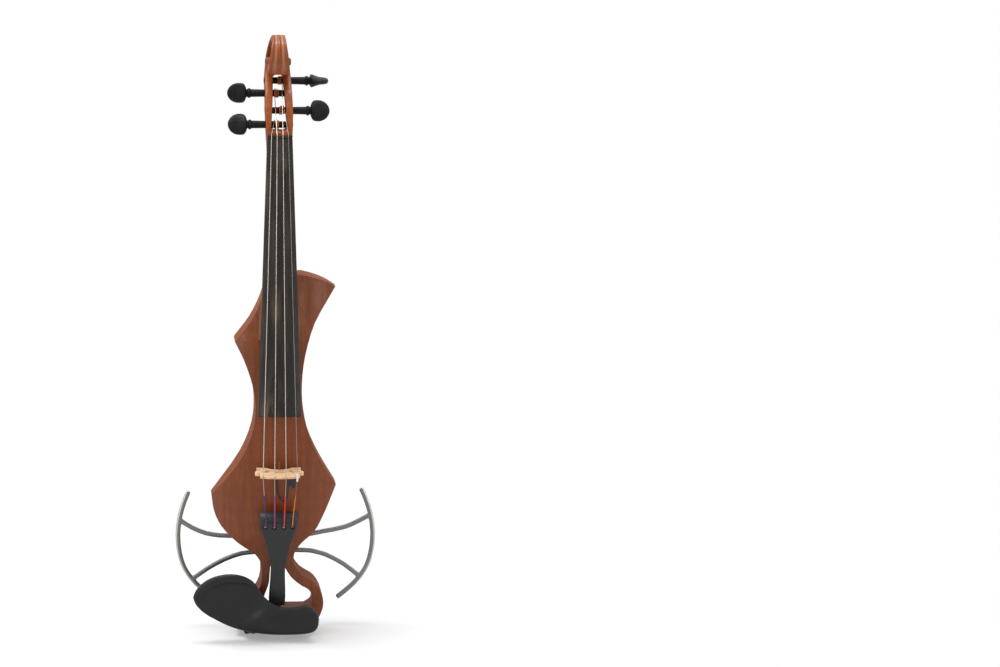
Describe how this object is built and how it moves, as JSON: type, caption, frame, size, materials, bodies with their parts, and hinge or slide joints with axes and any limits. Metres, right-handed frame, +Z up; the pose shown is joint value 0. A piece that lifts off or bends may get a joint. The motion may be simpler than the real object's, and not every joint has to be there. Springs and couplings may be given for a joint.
{
  "type": "electric violin",
  "caption": "Solid-body electric violin: arched reddish body with one horn, looped open tail, scroll ring, tuning pegs, flat wing frame, chinrest and a control panel let into the back",
  "frame": {"origin": "Inside the top of the scroll ring, on the middle line, where the instrument hangs from a hook; the lowest place is the underside of the end button", "axes": "+Z up the neck, +X to the player's treble side (short strings' side, right in a front view), +Y out of the back, so the strings face -Y"},
  "size_m": [0.1979, 0.1167, 0.5871],
  "materials": {
    "varnished_body": "satin varnish",
    "varnished_back": "satin varnish",
    "neck_maple": "satin, varnished at both ends",
    "ebony": "satin",
    "silk": "wound thread",
    "string_steel": "wound metal",
    "sleeve": "soft tube",
    "bridge_maple": "bare",
    "brown_pin": "bare",
    "lead_rubber": "matte",
    "gut": "soft cord",
    "black_plastic": "fine grain",
    "black_metal": "satin black",
    "cork": "cork",
    "steel": "satin",
    "frame_aluminium": "satin grey",
    "circuit": "board",
    "battery_case": "plain",
    "grey_plastic": "fine grain",
    "chrome": "polished",
    "pot_metal": "plain"
  },
  "bodies": {
    "instrument": {"body": "varnished_body", "back_plate": "varnished_back", "neck": "neck_maple", "fingerboard": "ebony", "nut": "ebony", "saddle": "ebony", "end_button": "ebony", "tailpiece": "ebony", "tailgut": "gut", "string_g": "string_steel", "string_d": "string_steel", "string_a": "string_steel", "string_e": "string_steel", "string_sleeve_e": "sleeve", "bridge": "bridge_maple", "bridge_pin": "brown_pin", "pickup_lead": "lead_rubber", "pickup_flag": "lead_rubber", "chinrest": "black_plastic", "chinrest_pad_treble": "cork", "chinrest_pad_bass": "cork", "chinrest_clamp_treble": "black_metal", "chinrest_clamp_bass": "black_metal", "clamp_cork_treble": "cork", "clamp_cork_bass": "cork", "shoulder_frame": "frame_aluminium", "frame_screw_treble": "black_metal", "frame_screw_bass": "black_metal", "control_housing": "black_plastic", "circuit_board": "circuit", "battery": "battery_case", "switch_frame": "black_plastic", "headphone_socket": "chrome", "potentiometer_volume": "pot_metal", "potentiometer_treble": "pot_metal", "potentiometer_bass": "pot_metal", "jack_housing": "grey_plastic", "output_jack": "steel", "jack_nut": "chrome"},
    "tuner_g": {"peg_g": "ebony", "peg_winding_g": "silk"},
    "tuner_d": {"peg_d": "ebony", "peg_winding_d": "silk"},
    "tuner_e": {"peg_e": "ebony", "peg_winding_e": "silk"},
    "tuner_a": {"peg_a": "ebony", "peg_winding_a": "silk"},
    "dial_volume": {"knob_volume": "black_plastic"},
    "dial_treble": {"knob_treble": "black_plastic"},
    "dial_bass": {"knob_bass": "black_plastic"},
    "slider": {"power_switch": "grey_plastic"},
    "door": {"battery_door": "black_plastic"},
    "screw_treble": {"clamp_screw_treble": "steel"},
    "screw_bass": {"clamp_screw_bass": "steel"}
  },
  "joints": [
    {"name": "tuner_g_turn", "type": "hinge", "parent": "instrument", "child": "tuner_g", "pos_m": [0, -0.01668, -0.07879], "axis": [1, 0, 0], "continuous": true},
    {"name": "tuner_d_turn", "type": "hinge", "parent": "instrument", "child": "tuner_d", "pos_m": [0, 0.00365, -0.05061], "axis": [1, 0, 0], "continuous": true},
    {"name": "tuner_e_turn", "type": "hinge", "parent": "instrument", "child": "tuner_e", "pos_m": [0, -0.00983, -0.06586], "axis": [1, 0, 0], "continuous": true},
    {"name": "tuner_a_turn", "type": "hinge", "parent": "instrument", "child": "tuner_a", "pos_m": [0, 0.01315, -0.03923], "axis": [1, 0, 0], "continuous": true},
    {"name": "dial_volume_turn", "type": "hinge", "parent": "instrument", "child": "dial_volume", "pos_m": [-0.0076, 0.0006, -0.42118], "axis": [0, 1, 0], "range_deg": [-140, 140]},
    {"name": "dial_treble_turn", "type": "hinge", "parent": "instrument", "child": "dial_treble", "pos_m": [-0.0203, 0.0006, -0.43078], "axis": [0, 1, 0], "range_deg": [-140, 140]},
    {"name": "dial_bass_turn", "type": "hinge", "parent": "instrument", "child": "dial_bass", "pos_m": [-0.0076, 0.0006, -0.43998], "axis": [0, 1, 0], "range_deg": [-140, 140]},
    {"name": "power_slide", "type": "slide", "parent": "instrument", "child": "slider", "axis": [1, 0, 0], "range_m": [-0.0015, 0.0015]},
    {"name": "door_swing", "type": "hinge", "parent": "instrument", "child": "door", "pos_m": [0.0125, -0.00335, -0.45183], "axis": [-1, 0, 0], "range_deg": [0, 90]},
    {"name": "screw_treble_turn", "type": "hinge", "parent": "instrument", "child": "screw_treble", "pos_m": [0.0268, -0.0084, -0.57552], "axis": [0, 1, 0], "continuous": true},
    {"name": "screw_bass_turn", "type": "hinge", "parent": "instrument", "child": "screw_bass", "pos_m": [-0.0268, -0.0084, -0.57552], "axis": [0, 1, 0], "continuous": true}
  ]
}
